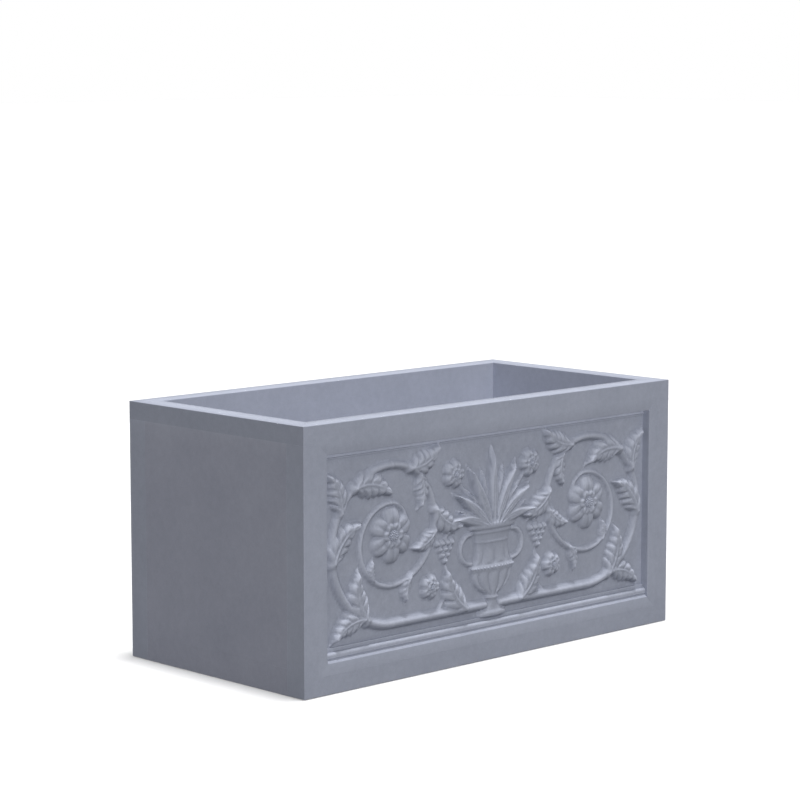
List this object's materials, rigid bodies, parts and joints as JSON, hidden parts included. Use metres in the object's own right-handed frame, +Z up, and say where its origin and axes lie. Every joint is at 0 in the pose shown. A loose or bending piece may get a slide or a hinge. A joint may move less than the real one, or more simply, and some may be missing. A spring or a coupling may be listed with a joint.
{
  "type": "planter",
  "caption": "Rectangular floor planter of cast stone with a mitred rim, a framed relief panel on the front, drain plugs that lift out and rubber pads under the base",
  "frame": {"origin": "middle of the footprint, on the ground under the pads", "axes": "+X along the front to the right as seen from the front, +Y to the back, +Z up"},
  "size_m": [1, 0.5, 0.501],
  "materials": {
    "cast_stone": "matte grey cast stone with a fine mottle",
    "steel": "plain stainless bar, sawn ends",
    "rubber": "matte black moulded rubber",
    "outlet_plastic": "dark grey moulded plastic, matte"
  },
  "bodies": {
    "planter": {"base_slab": "cast_stone", "back_wall": "cast_stone", "front_wall": "cast_stone", "left_end_wall": "cast_stone", "right_end_wall": "cast_stone", "rim_front": "cast_stone", "rim_right": "cast_stone", "rim_back": "cast_stone", "rim_left": "cast_stone", "bead_bottom": "cast_stone", "bead_right": "cast_stone", "bead_top": "cast_stone", "bead_left": "cast_stone", "relief_panel": "cast_stone", "front_left_cramp": "steel", "front_right_cramp": "steel", "back_left_cramp": "steel", "back_right_cramp": "steel", "rim_dowels": "steel", "end_wall_dowels": "steel", "base_dowels": "steel", "front_left_pad": "rubber", "front_right_pad": "rubber", "back_left_pad": "rubber", "back_right_pad": "rubber", "drain_outlets": "outlet_plastic"},
    "left_plug": {"left_drain_plug": "rubber"},
    "right_plug": {"right_drain_plug": "rubber"}
  },
  "joints": [
    {"name": "left_plug_pull", "type": "slide", "parent": "planter", "child": "left_plug", "axis": [0, 0, 1], "range_m": [0, 0.06]},
    {"name": "right_plug_pull", "type": "slide", "parent": "planter", "child": "right_plug", "axis": [0, 0, 1], "range_m": [0, 0.06]}
  ]
}
